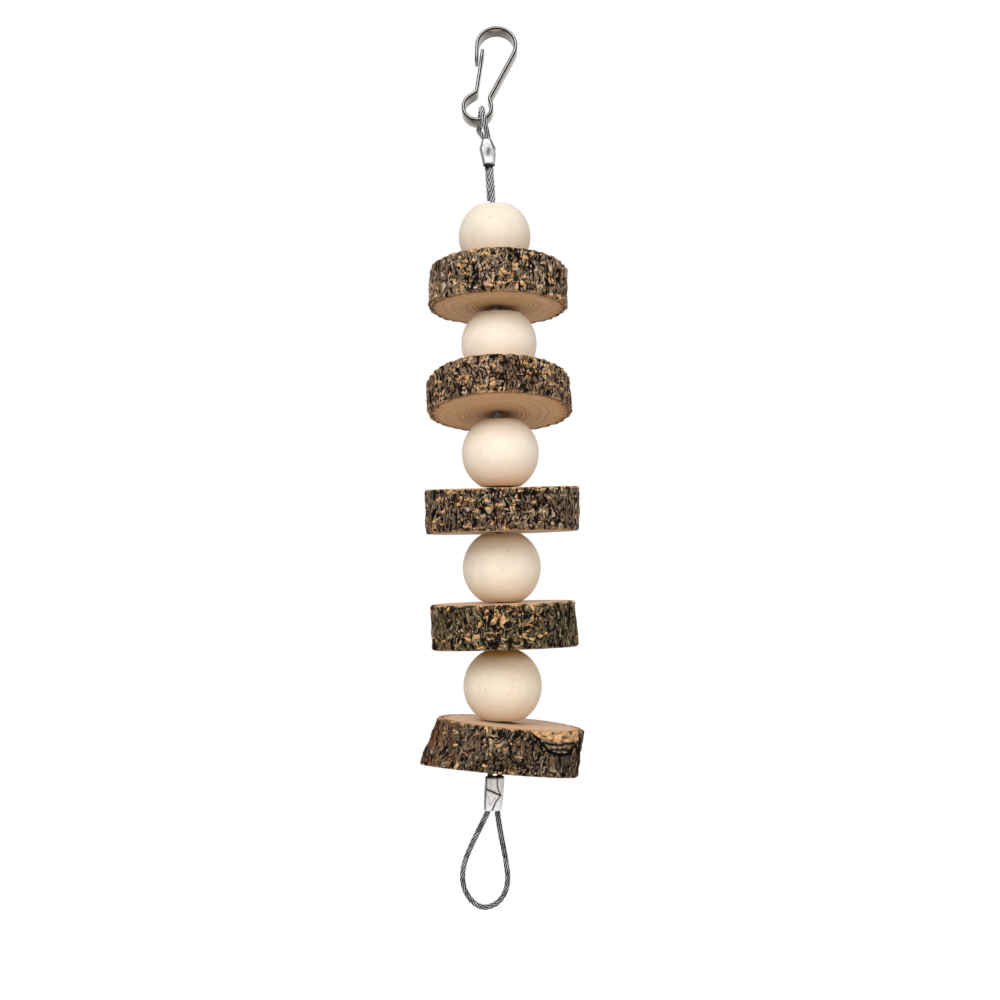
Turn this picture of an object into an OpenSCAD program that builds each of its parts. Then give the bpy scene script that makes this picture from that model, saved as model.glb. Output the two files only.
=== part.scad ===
// Hanging bird chew toy: turned wooden beads and drilled branch slices on a wire rope,
// with a bent-strip snap hook above and a rope loop below.
// Millimetres. +Z is up, +X runs to the viewer's right and +Y away from the viewer.
// The origin is the inside of the hook's upper bow, where it hangs from a cage bar.

/* [Hook] */
// Width of the hook's steel strip
strip_w = 5.2; // [4:0.1:6.5]
// Thickness of the strip
strip_t = 1.05; // [0.8:0.05:1.2]
// Radius of the upper bow, at the middle of the strip
bow_r = 6.2; // [5.8:0.1:8]
// Length of the straight back between the two bows
back_l = 17.1; // [16:0.1:20]
// Radius of the lower bow, at the middle of the strip
eye_bow_r = 4.5; // [4.2:0.1:5.5]
// Lean of the hook to the right, in degrees
hook_lean = 16.7; // [0:0.1:20]
// Tilt of the hook's top away from the viewer, in degrees
hook_pitch = 13; // [0:0.5:15]

/* [Wire rope] */
// Diameter of the wire rope
rope_d = 1.8; // [1.2:0.1:2]
// Length of the closed eye, from its crown to the sleeve
eye_l = 10; // [9.5:0.1:14]
// Bare rope between the upper sleeve and the stack
free_l = 12.8; // [8:0.2:20]
// Length of the rope's tail below the upper sleeve
tail_l = 10.8; // [2:0.1:11]
// Length of the loop below the lower sleeve
loop_l = 30.8; // [28:0.1:40]
// Clearance of the rope in the bores of the sleeves
rope_clear = 0.1; // [0.05:0.01:0.15]

/* [Sleeves] */
// Length of the upper crimped sleeve
upper_sleeve_l = 8.2; // [6:0.1:10]
// Width of the upper sleeve across its bulge
upper_sleeve_w = 5.4; // [4.8:0.1:6.5]
// Length of the lower crimped sleeve
lower_sleeve_l = 10.8; // [9:0.1:14]
// Width of the lower sleeve
lower_sleeve_w = 6.2; // [5.8:0.1:7]

/* [Beads] */
// Diameter of the largest bead
ball_d = 25; // [22:0.5:28]
// Height of a bead's flat ends from its centre, as a share of its radius
flat_share = 0.86; // [0.84:0.01:0.88]
// Diameter of a bead's bore
ball_bore_d = 6; // [5.6:0.1:6.6]

/* [Slices] */
// Middle width of the branch slices
slice_d = 47; // [40:0.5:55]
// Middle thickness of the branch slices
slice_t = 14; // [12:0.5:17]
// Diameter of the bore in a slice
slice_bore_d = 5; // [4.8:0.1:6]
// Depth of the furrows in the bark
bark_relief = 1.1; // [0.2:0.1:2]
// Gap at each place where two wooden pieces or a sleeve and a piece rest on each other
seat_gap = 0.15; // [0.1:0.05:0.4]

/* [Hidden] */

// The strip's straights and bends in order: straight length, turn to the left, bend radius.
// It starts at the nose and ends with the gate.
nose_l = 5.7;
nose_heading = 104;
neck_r = 1.6;
gate_bend_r = 1;
gate_l = 15;
gate_arm_w = 0.72 * strip_w;
gate_head_l = 4;
gate_taper_l = 2.5;
strip_corner = 1;
hook_bends = [
    [nose_l, -204.4, bow_r],
    [back_l, 44.5, neck_r],
    [1, -252, eye_bow_r],
    [2.4, 46, gate_bend_r]];

// Centre of a bend, and the place and heading at its end, from the place and heading before it
function bend_centre(s, b) =
    [s[0] + b[0] * cos(s[2]) - sign(b[1]) * b[2] * sin(s[2]),
     s[1] + b[0] * sin(s[2]) + sign(b[1]) * b[2] * cos(s[2])];
function after_bend(s, b) =
    let (c = bend_centre(s, b), h = s[2] + b[1])
    [c[0] + sign(b[1]) * b[2] * sin(h), c[1] - sign(b[1]) * b[2] * cos(h), h];
function strip_path(s, rows, i = 0) =
    i == len(rows) ? [s] : concat([s], strip_path(after_bend(s, rows[i]), rows, i + 1));

// The upper bow's centre is the hook's own origin
bow_from_nose = bend_centre([0, 0, nose_heading], hook_bends[0]);
hook_path = strip_path([-bow_from_nose[0], -bow_from_nose[1], nose_heading], hook_bends);
bow_drop = bow_r - strip_t / 2;

// A point of the hook's own plane, in the frame of the part
function from_hook(p) =
    let (x = p[0] * cos(hook_lean) + p[1] * sin(hook_lean),
         z = p[1] * cos(hook_lean) - p[0] * sin(hook_lean))
    [x, z * sin(hook_pitch), z * cos(hook_pitch) - bow_drop];

// Where the rope's eye sits on the lower bow, a little to the right of its lowest point
rope_r = rope_d / 2;
eye_bow_c = from_hook(bend_centre(hook_path[2], hook_bends[2]));
eye_side = 1.2;
eye_bow_in = eye_bow_r - strip_t / 2;
eye_drop = sqrt(pow(eye_bow_in, 2) - pow(eye_side, 2));
hook_up = [0, sin(hook_pitch), cos(hook_pitch)];
hook_back = [0, cos(hook_pitch), -sin(hook_pitch)];
eye_seat = eye_bow_c + [eye_side, 0, 0] - eye_drop * hook_up;
eye_clear = 0.2;
eye_r = strip_w / 2 + rope_r + eye_clear;

// Upper sleeve: it leans a little, and its two runs of rope lie one behind the other
run_gap = 0.1;
run_yaw = 30;
run_off = (rope_r + run_gap / 2) * [sin(run_yaw), -cos(run_yaw), 0];
sleeve_bore_r = rope_r + rope_clear;
upper_top = eye_seat + [1.6, 0, eye_r * cos(hook_pitch) - eye_l];
upper_bottom = upper_top + [0.55, 0, -upper_sleeve_l];
upper_wall = 0.45;

// The stack hangs straight below the front run of the upper sleeve
stack_x = upper_bottom[0] + run_off[0] + 0.5;
stack_y = upper_bottom[1] + run_off[1];
stack_top = upper_bottom[2] - free_l;

// Beads from the top: how much smaller each is, where its centre lies from the rope, and how
// much further out its upper and its lower flat end lie than flat_share says
ball_less = [2.1, 1, 0.5, 0.1, 0];
ball_off = [[0.4, 0.8], [1.2, 0.3], [1, -0.3], [0.8, 0.3], [0.4, 0]];
upper_flat_out = [0, -0.04, 0.02, 0.01, 0.07];
lower_flat_out = [-0.08, -0.1, 0.005, 0.01, 0];
function ball_r(i) = (ball_d - ball_less[i]) / 2;
function end_share(i, side) = flat_share + (side > 0 ? upper_flat_out[i] : lower_flat_out[i]);
function ball_end(i, side) = end_share(i, side) * ball_r(i);
function flat_r(i, side) = ball_r(i) * sqrt(1 - pow(end_share(i, side), 2));
function ball_at(i) = [stack_x + ball_off[i][0], stack_y + ball_off[i][1], ball_top(i) - ball_end(i, 1)];

// Slices from the top: how much wider and thicker each is than the middle one, its tilt away
// from the viewer and to the right, how much more its upper face tilts away than its lower one,
// its bore from the rope and its outline's centre from its bore
slice_wider = [-2.5, -0.3, 2.6, -0.6, 3];
slice_thicker = [-1.3, -3, 0.1, 0.5, 1.4];
slice_pitch = [7.7, 12.9, -1, 0.7, 3.1];
slice_roll = [0.5, -0.5, -0.5, -0.8, 6.1];
slice_wedge = [3.4, 3.2, -2.5, -1.7, -3.8];
slice_bore_off = [[0.5, 0.3], [0.6, 0.2], [0.6, 0], [0.5, 0.2], [-0.35, 0]];
slice_mid_off = [[0.8, 0.5], [0.4, -0.6], [0.8, 0.4], [0.7, -0.3], [0.7, 0.5]];
// How much wider the outline is below than above, and how far its middle moves sideways from
// top to bottom
slice_flare = [0.6, 0.4, -0.3, 0.9, 3.8];
slice_slant = [-0.2, 0.4, -0.3, 0.4, -2.8];
function slice_h(i) = slice_t + slice_thicker[i];
last = len(slice_wider) - 1;

// The direction square to a slice's upper face (side 1) or lower face (side -1), or along its
// bore (side 0)
function face_axis(i, side) =
    let (p = slice_pitch[i] + side * slice_wedge[i] / 2, r = slice_roll[i])
    [cos(p) * sin(r), sin(p), cos(p) * cos(r)];

// How steep a face is where a bead rests on it. The lowest slice stays as it hangs. The others
// turn on their bores, so theirs is the steepest that the face gets in a turn.
function seat_slope(i, side) =
    i == last ? tan(acos(face_axis(i, side)[2]))
    : tan(acos(face_axis(i, 0)[2]) + abs(slice_wedge[i]) / 2);

// Height above a slice's centre of its upper face (side 1) or lower face (side -1)
// at a place (x, y) measured from that centre
function face_rise(i, side, x, y) =
    let (a = face_axis(i, side))
    (side * slice_h(i) / 2 * (a * face_axis(i, 0)) - a[0] * x - a[1] * y) / a[2];
function over_slice(i, j, side) =
    face_rise(i, side, ball_off[j][0] - slice_bore_off[i][0], ball_off[j][1] - slice_bore_off[i][1]);

// Each piece rests on the rim of its neighbour's flat end
function slice_z(i) =
    ball_at(i)[2] - ball_end(i, -1) - seat_gap - seat_slope(i, 1) * flat_r(i, -1) - over_slice(i, i, 1);
function slice_at(i) = [stack_x + slice_bore_off[i][0], stack_y + slice_bore_off[i][1], slice_z(i)];
function ball_top(i) =
    i == 0 ? stack_top
    : slice_z(i - 1) + over_slice(i - 1, i, -1) - seat_slope(i - 1, -1) * flat_r(i, 1) - seat_gap;

// Lower sleeve: the rope's dead end stands out of its top, and the lowest slice rests on that
lower_sleeve_d = 4;
lower_run = 1.5;
lower_aside = 2.6;
lower_x = stack_x - lower_aside;
dead_end_out = 1.8;
dead_end = [lower_x - lower_run, stack_y, slice_z(last) - seat_gap
    + face_rise(last, -1, lower_x - lower_run + rope_r - slice_at(last)[0],
        stack_y + rope_r - slice_at(last)[1])];
lower_top = [lower_x, stack_y, dead_end[2] - dead_end_out];
lower_bottom = lower_top + [-0.9, 0, -lower_sleeve_l];

// The rope's loop, from the lower sleeve's mouth, at its usual length
loop_route = [
    [1.7, -2.4], [2.1, -5.3], [2.6, -8.5], [3.2, -11.8], [3.8, -15.2], [4.2, -18.5],
    [4.4, -20.8], [4.3, -22.9], [3.8, -25.2], [2.8, -27.3], [1.2, -29.2], [-1, -30.4],
    [-3.2, -30.8], [-5.2, -30.2], [-7, -28.8], [-8.5, -26.8], [-9.5, -24.5], [-9.9, -22.2],
    [-9.9, -19.9], [-9.5, -17.6], [-8.8, -15.2], [-7.7, -12.6], [-6.5, -10.1], [-5.2, -7.5],
    [-3.9, -5], [-2.6, -2.5]];
loop_usual = 30.8;
stack_rings = 22;
bend_aside = 0.5;

// The whole rope, from the end of its tail, over the hook, down the stack and round the loop
rope_route = concat(
    [upper_bottom - run_off + [0.5, 0, -tail_l],
     upper_bottom - run_off + [0.25, 0, -tail_l / 2],
     upper_bottom - run_off,
     upper_top - run_off,
     eye_seat + [-0.9, 0, 0] + eye_r * hook_back - 1.3 * hook_up],
    [for (a = [0 : 22.5 : 180])
        eye_seat + [-0.45 * cos(a), 0, 0] + eye_r * (cos(a) * hook_back + sin(a) * hook_up)],
    [eye_seat + [0.7, 0, 0] - eye_r * hook_back - 1.3 * hook_up,
     upper_top + run_off,
     upper_bottom + run_off,
     [stack_x - 0.15, stack_y, stack_top + free_l / 2]],
    [for (k = [0 : stack_rings - 1])
        [stack_x, stack_y,
         stack_top + (slice_z(last) + slice_h(last) / 2 - stack_top) * k / (stack_rings - 1)]],
    [[stack_x - bend_aside, stack_y, slice_z(last)],
     lower_top + [lower_run, 0, 0],
     lower_bottom + [lower_run, 0, 0]],
    [for (p = loop_route) lower_bottom + [p[0], 0, p[1] * loop_l / loop_usual]],
    [lower_bottom - [lower_run, 0, 0],
     lower_top - [lower_run, 0, 0],
     dead_end]);

// A closed solid through rings of points; each ring turns to the left round the way they follow
module skin(rings) {
    n = len(rings[0]);
    m = len(rings);
    polyhedron(
        points = [for (r = rings) each r],
        faces = concat(
            [[for (k = [0 : n - 1]) k]],
            [[for (k = [0 : n - 1]) m * n - 1 - k]],
            [for (j = [0 : m - 2], k = [0 : n - 1])
                [j * n + k, (j + 1) * n + k, (j + 1) * n + (k + 1) % n]],
            [for (j = [0 : m - 2], k = [0 : n - 1])
                [j * n + k, (j + 1) * n + (k + 1) % n, j * n + (k + 1) % n]]));
}

// Directions along a route, and side vectors carried along it without twist
function unit(v) = v / norm(v);
function heading(route, i) = unit(route[min(i + 1, len(route) - 1)] - route[max(i - 1, 0)]);
function carried(route, side, i = 0) =
    let (t = heading(route, i), s = unit(side - (side * t) * t))
    i == len(route) - 1 ? [s] : concat([s], carried(route, s, i + 1));

rope_sides = 8;
module wire_rope() {
    sides = carried(rope_route, [0, 1, 0]);
    color("gray")
        skin([for (i = [0 : len(rope_route) - 1])
            let (t = heading(rope_route, i), s = sides[i], u = cross(t, s))
            [for (k = [0 : rope_sides - 1])
                let (a = 360 * k / rope_sides)
                rope_route[i] + rope_r * (cos(a) * s + sin(a) * u)]]);
}

// The strip seen edge on: points along one face of it, off to the left of its middle line
strip_step = 6;
function face_of(s, b, off) =
    let (c = bend_centre(s, b), steps = ceil(abs(b[1]) / strip_step), r = b[2] - sign(b[1]) * off)
    [for (k = [0 : steps])
        let (h = s[2] + b[1] * k / steps)
        [c[0] + sign(b[1]) * r * sin(h), c[1] - sign(b[1]) * r * cos(h)]];
function beside(s, along, off) =
    [s[0] + along * cos(s[2]) - off * sin(s[2]), s[1] + along * sin(s[2]) + off * cos(s[2])];
function strip_face(off) = concat(
    [beside(hook_path[0], 0, off)],
    [for (i = [0 : len(hook_bends) - 1]) each face_of(hook_path[i], hook_bends[i], off)],
    [beside(hook_path[len(hook_bends)], gate_l, off)]);
function backwards(v) = [for (k = [1 : len(v)]) v[len(v) - k]];

// A cut at both edges of the strip, from its outline along the strip and in from the edge
module edge_cuts(s, outline) {
    translate([s[0], s[1], 0])
        rotate(s[2])
            for (side = [0, 1])
                mirror([0, 0, side])
                    translate([0, 2 * strip_t, strip_w / 2])
                        rotate([90, 0, 0])
                            linear_extrude(4 * strip_t)
                                polygon(outline);
}

module snap_hook() {
    c = strip_corner;
    arm_in = (strip_w - gate_arm_w) / 2;
    head = gate_l - gate_head_l;
    color("silver")
        translate([0, 0, -bow_drop])
            rotate([-hook_pitch, 0, 0])
                rotate([0, hook_lean, 0])
                    rotate([90, 0, 0])
                        difference() {
                            linear_extrude(strip_w, center = true)
                                polygon(concat(strip_face(strip_t / 2), backwards(strip_face(-strip_t / 2))));
                            edge_cuts(hook_path[0], [[-1, -c - 1], [c + 1, 1], [-1, 1]]);
                            edge_cuts(hook_path[len(hook_bends)],
                                [[0.3, 1], [0.3, 0], [gate_taper_l, -arm_in], [head, -arm_in], [head, 1]]);
                            edge_cuts(hook_path[len(hook_bends)],
                                [[gate_l + 1, -c - 1], [gate_l + 1, 1], [gate_l - c - 1, 1]]);
                        }
}

// A crimped sleeve between two points: rows give the share of its height, half width and half depth
module sleeve(low, high, rows, facets) {
    skin([for (r = rows)
        [for (k = [0 : facets - 1])
            let (a = 360 * (k + 0.5) / facets, g = 1 / cos(180 / facets))
            low + (high - low) * r[0] + [r[1] * g * cos(a), r[2] * g * sin(a), 0]]]);
}

// A true bore for one run of rope through a sleeve
module run_bore(low, high, off) {
    d = high - low;
    over = 1;
    translate(low + off - over * unit(d))
        rotate([0, atan2(d[0], d[2]), 0])
            cylinder(r = sleeve_bore_r, h = norm(d) + 2 * over, $fn = 32);
}

module upper_ferrule() {
    ends = rope_r + abs(run_off[0]) + upper_wall;
    deep = rope_r + abs(run_off[1]) + upper_wall;
    color("gainsboro")
        difference() {
            sleeve(upper_bottom, upper_top, facets = 8, rows = [
                [0, ends, deep],
                [0.62, upper_sleeve_w / 2, deep + 0.25],
                [0.68, upper_sleeve_w / 2, deep + 0.25],
                [1, ends, deep]]);
            run_bore(upper_bottom, upper_top, run_off);
            run_bore(upper_bottom, upper_top, -run_off);
        }
}

module lower_ferrule() {
    half = lower_sleeve_w / 2;
    deep = lower_sleeve_d / 2;
    groove = 0.5;
    mid = (lower_bottom + lower_top) / 2;
    color("gainsboro")
        difference() {
            sleeve(lower_bottom, lower_top, facets = 8, rows = [
                [0, half - 0.35, deep - 0.15],
                [0.3, half - 0.1, deep],
                [0.8, half, deep],
                [1, half - 0.1, deep - 0.1]]);
            for (side = [-1, 1])
                translate(mid + [0, side * deep, -0.2])
                    rotate([45, 20 * side, 0])
                        cube([2 * lower_sleeve_w, groove, groove], center = true);
            run_bore(lower_bottom, lower_top, [lower_run, 0, 0]);
            run_bore(lower_bottom, lower_top, [-lower_run, 0, 0]);
        }
}

module ball(i) {
    r = ball_r(i);
    low = ball_end(i, -1);
    color("wheat")
        translate(ball_at(i))
            difference() {
                intersection() {
                    sphere(r, $fn = 96);
                    translate([-2 * r, -2 * r, -low])
                        cube([4 * r, 4 * r, low + ball_end(i, 1)]);
                }
                cylinder(d = ball_bore_d, h = 3 * r, center = true, $fn = 48);
            }
}

// Bark: every third column is a furrow, and the plates between stand up unevenly.
// The columns are unevenly spaced and wander sideways as they climb.
bark_cols = 102;
bark_rows = [-1, -0.9, -0.58, -0.28, 0.02, 0.33, 0.63, 0.91, 1];
rim_in = 0.5;
module slice(i) {
    n = bark_cols;
    m = len(bark_rows);
    h = slice_h(i);
    seed = 11 + 7 * i;
    half = (slice_d + slice_wider[i]) / 2;
    spread = rands(-0.3, 0.3, n, seed);
    plate = rands(0.45, 1, n, seed + 1);
    chip = rands(-0.35, 0.35, n * m, seed + 2);
    wander = rands(0, 360, n, seed + 3);
    lobes = rands(0, 360, 3, seed + 4);
    color([0.3, 0.25, 0.21])
        translate(slice_at(i))
            rotate([-slice_pitch[i], slice_roll[i], 0])
                difference() {
                    skin([for (j = [0 : m - 1])
                        [for (k = [0 : n - 1])
                            let (
                                rise = bark_rows[j],
                                a = 360 * (k + spread[k] + 0.25 * sin(wander[k] + 90 * rise)) / n,
                                lobe = 0.012 * cos(2 * a + lobes[0]) + 0.009 * cos(3 * a + lobes[1])
                                    + 0.006 * cos(5 * a + lobes[2]),
                                bark = max(0, (k % 3 == 0 ? 0.1 : plate[k]) + chip[j * n + k]),
                                rim = abs(rise) == 1 ? rim_in : 0,
                                r = half * (1 + lobe) - slice_flare[i] / 4 * rise
                                    - bark_relief * (1 - min(1, bark)) - rim)
                            let (y = slice_mid_off[i][1] + r * sin(a))
                            [slice_mid_off[i][0] - slice_slant[i] / 2 * rise + r * cos(a), y,
                             (h / 2 - y * tan(slice_wedge[i] / 2)) * rise]]]);
                    cylinder(d = slice_bore_d, h = 2 * h, center = true, $fn = 48);
                }
}

snap_hook();
wire_rope();
upper_ferrule();
lower_ferrule();
for (i = [0 : 4]) {
    ball(i);
    slice(i);
}
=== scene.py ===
"""Looks of the hanging bird chew toy: bark, cut wood, turned beads, wire rope, hook and crimped sleeves.

All places are in millimetres until a mesh is made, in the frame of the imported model: +Z up, +X to the
viewer's right, +Y away from the viewer.
"""
import math

import bpy
import numpy as np
from mathutils import Matrix, Vector
from mathutils.bvhtree import BVHTree


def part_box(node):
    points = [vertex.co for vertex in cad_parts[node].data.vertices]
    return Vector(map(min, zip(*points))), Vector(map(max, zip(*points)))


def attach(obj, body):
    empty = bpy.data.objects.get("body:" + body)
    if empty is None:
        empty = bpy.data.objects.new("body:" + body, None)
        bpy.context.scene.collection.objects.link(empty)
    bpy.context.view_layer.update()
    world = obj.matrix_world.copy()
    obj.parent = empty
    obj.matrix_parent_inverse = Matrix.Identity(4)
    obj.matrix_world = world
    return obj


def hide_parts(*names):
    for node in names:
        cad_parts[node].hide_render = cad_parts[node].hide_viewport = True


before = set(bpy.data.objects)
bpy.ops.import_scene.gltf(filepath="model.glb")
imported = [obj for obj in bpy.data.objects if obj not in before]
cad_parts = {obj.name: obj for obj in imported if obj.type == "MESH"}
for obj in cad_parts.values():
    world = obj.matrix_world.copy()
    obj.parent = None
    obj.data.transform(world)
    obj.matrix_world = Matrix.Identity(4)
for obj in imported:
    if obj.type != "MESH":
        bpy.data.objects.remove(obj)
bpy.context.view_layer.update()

MM = 0.001


def rgb(red, green, blue):
    """A colour given as 0-255 sRGB, as the linear values that Blender takes"""
    def linear(v):
        v /= 255
        return v / 12.92 if v <= 0.04045 else ((v + 0.055) / 1.055) ** 2.4
    return (linear(red), linear(green), linear(blue), 1)


# Seeded noise

def hashed(cell, seed):
    """A steady pseudo-random number from 0 to 1 for each row of whole numbers"""
    c = cell.astype(np.int64).astype(np.uint64)
    h = c[:, 0] * np.uint64(73856093) ^ c[:, 1] * np.uint64(19349663) ^ c[:, 2] * np.uint64(83492791)
    h = (h + np.uint64(seed * 7919 + 101)) & np.uint64(0xFFFFFFFF)
    for factor in (1274126177, 2246822519):
        h = ((h ^ (h >> np.uint64(15))) * np.uint64(factor)) & np.uint64(0xFFFFFFFF)
    return (h ^ (h >> np.uint64(13))).astype(np.float64) / 0xFFFFFFFF


def noise(points, size, seed):
    """Smooth noise from about -1 to 1; size is that of its blobs, a number or one for each axis"""
    q = points / np.asarray(size, float)
    whole = np.floor(q)
    part = q - whole
    fade = part ** 3 * (part * (part * 6 - 15) + 10)
    total = np.zeros(len(q))
    for corner in np.ndindex(2, 2, 2):
        c = np.array(corner)
        weight = np.prod(np.where(c, fade, 1 - fade), axis=1)
        slope = sum((2 * hashed(whole + c, seed * 3 + k) - 1) * (part[:, k] - c[k]) for k in range(3))
        total += weight * slope
    return 1.7 * total


def fractal(points, size, seed, octaves=3, gain=0.5):
    """Noise summed over finer and finer sizes"""
    size = np.asarray(size, float)
    return sum(gain ** k * noise(points, size / 2 ** k, seed + 17 * k) for k in range(octaves))


def smooth(x, low, high):
    """0 below low, 1 above high, with an S-shaped step between"""
    t = np.clip((x - low) / (high - low), 0, 1)
    return t * t * (3 - 2 * t)


# Meshes

def make_mesh(name, points, faces, values=None):
    """A smooth object from points in mm and arrays of corner numbers, with named values for each point"""
    mesh = bpy.data.meshes.new(name)
    corners = np.concatenate([f.ravel() for f in faces]).astype(np.int32)
    counts = np.concatenate([np.full(len(f), f.shape[1]) for f in faces])
    starts = np.concatenate([[0], np.cumsum(counts)[:-1]]).astype(np.int32)
    mesh.vertices.add(len(points))
    mesh.vertices.foreach_set("co", (np.asarray(points) * MM).astype(np.float32).ravel())
    mesh.loops.add(len(corners))
    mesh.loops.foreach_set("vertex_index", corners)
    mesh.polygons.add(len(counts))
    mesh.polygons.foreach_set("loop_start", starts)
    mesh.update(calc_edges=True)
    mesh.validate()
    for key, row in (values or {}).items():
        layer = mesh.attributes.new(key, "FLOAT", "POINT")
        layer.data.foreach_set("value", np.asarray(row, np.float32))
    mesh.polygons.foreach_set("use_smooth", np.full(len(mesh.polygons), True))
    obj = bpy.data.objects.new(name, mesh)
    bpy.context.scene.collection.objects.link(obj)
    return obj


def grid_faces(rows, columns, first=0, wrap_rows=False):
    """Quads of a grid of points whose columns close round; the rows close too where asked"""
    j, k = np.meshgrid(np.arange(rows if wrap_rows else rows - 1), np.arange(columns), indexing="ij")
    j, k = j.ravel(), k.ravel()
    over, beside = (j + 1) % rows, (k + 1) % columns
    corners = [j * columns + k, j * columns + beside, over * columns + beside, over * columns + k]
    return first + np.stack(corners, axis=1)


def tube_faces(rows, columns, first=0):
    """A tube's quads, with a fan of triangles over each end round the first point of its ring"""
    k = np.arange(1, columns - 1)
    start = np.stack([np.zeros_like(k), k + 1, k], axis=1)
    end = (rows - 1) * columns + np.stack([np.zeros_like(k), k, k + 1], axis=1)
    return [grid_faces(rows, columns, first), first + start, first + end]


def dress(obj, body, slot, look, *nodes):
    """Gives a piece its material, its CAD body and the CAD nodes it stands for; the slot is not used"""
    obj.data.materials.append(look)
    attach(obj, body)
    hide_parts(*nodes)


# Materials

class Nodes:
    """Short calls that build the shader nodes of a material or of the world"""

    def __init__(self, tree):
        self.tree = tree
        self.tree.nodes.clear()
        self.coords = None

    def add(self, kind, inputs=None, **settings):
        """A node with its settings, and with its inputs linked or set"""
        node = self.tree.nodes.new("ShaderNode" + kind)
        for key, value in settings.items():
            setattr(node, key, value)
        for key, value in (inputs or {}).items():
            if isinstance(value, bpy.types.NodeSocket):
                self.tree.links.new(value, node.inputs[key])
            else:
                node.inputs[key].default_value = value
        return node

    def place(self):
        """The piece's own coordinates, in metres"""
        if self.coords is None:
            self.coords = self.add("TexCoord").outputs["Object"]
        return self.coords

    def value(self, name):
        """A named value that the mesh carries"""
        return self.add("Attribute", attribute_name=name).outputs["Fac"]

    def math(self, operation, a, b=0.0, clamp=False):
        """The result of one sum"""
        return self.add("Math", {0: a, 1: b}, operation=operation, use_clamp=clamp).outputs[0]

    def span(self, x, low, high, to_low=0.0, to_high=1.0):
        """x carried from low..high to to_low..to_high, and held there"""
        return self.add("MapRange", {"Value": x, "From Min": low, "From Max": high,
                                     "To Min": to_low, "To Max": to_high}).outputs[0]

    def mix(self, share, a, b, blend="MIX"):
        """Colour a, turned into b by a share from 0 to 1"""
        return self.add("Mix", {0: share, 6: a, 7: b}, data_type="RGBA", blend_type=blend,
                        clamp_factor=True).outputs[2]

    def stretch(self, scale, turn=(0, 0, 0)):
        """The piece's coordinates, turned and scaled"""
        return self.add("Mapping", {"Vector": self.place(), "Scale": scale, "Rotation": turn}).outputs[0]

    def noise(self, scale, detail=3.0, rough=0.55, vector=None, distortion=0.0):
        """Noise from 0 to 1 in the piece's coordinates, or in those given"""
        return self.add("TexNoise", {"Vector": vector or self.place(), "Scale": scale, "Detail": detail,
                                     "Roughness": rough, "Distortion": distortion}).outputs[0]

    def ramp(self, x, *stops):
        """The colour at x between stops, each a place from 0 to 1 and a colour"""
        node = self.add("ValToRGB", {"Fac": x})
        row = node.color_ramp.elements
        while len(row) < len(stops):
            row.new(0.5)
        for element, (place, colour) in zip(row, stops):
            element.position = place
            element.color = colour
        return node.outputs[0]

    def bump(self, height, distance, strength):
        """A normal bent by a height, whose full range stands for a distance in metres"""
        return self.add("Bump", {"Height": height, "Distance": distance, "Strength": strength}).outputs[0]


class Look(Nodes):
    """A material under construction"""

    def __init__(self, name):
        self.material = bpy.data.materials.new(name)
        self.material.use_nodes = True
        super().__init__(self.material.node_tree)

    def surface(self, shader):
        """The material, with a shader node as its surface"""
        self.add("OutputMaterial", {0: shader.outputs[0]})
        return self.material

    def finish(self, inputs):
        """The material, with one principled shader as its surface"""
        return self.surface(self.add("BsdfPrincipled", inputs))


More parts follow.
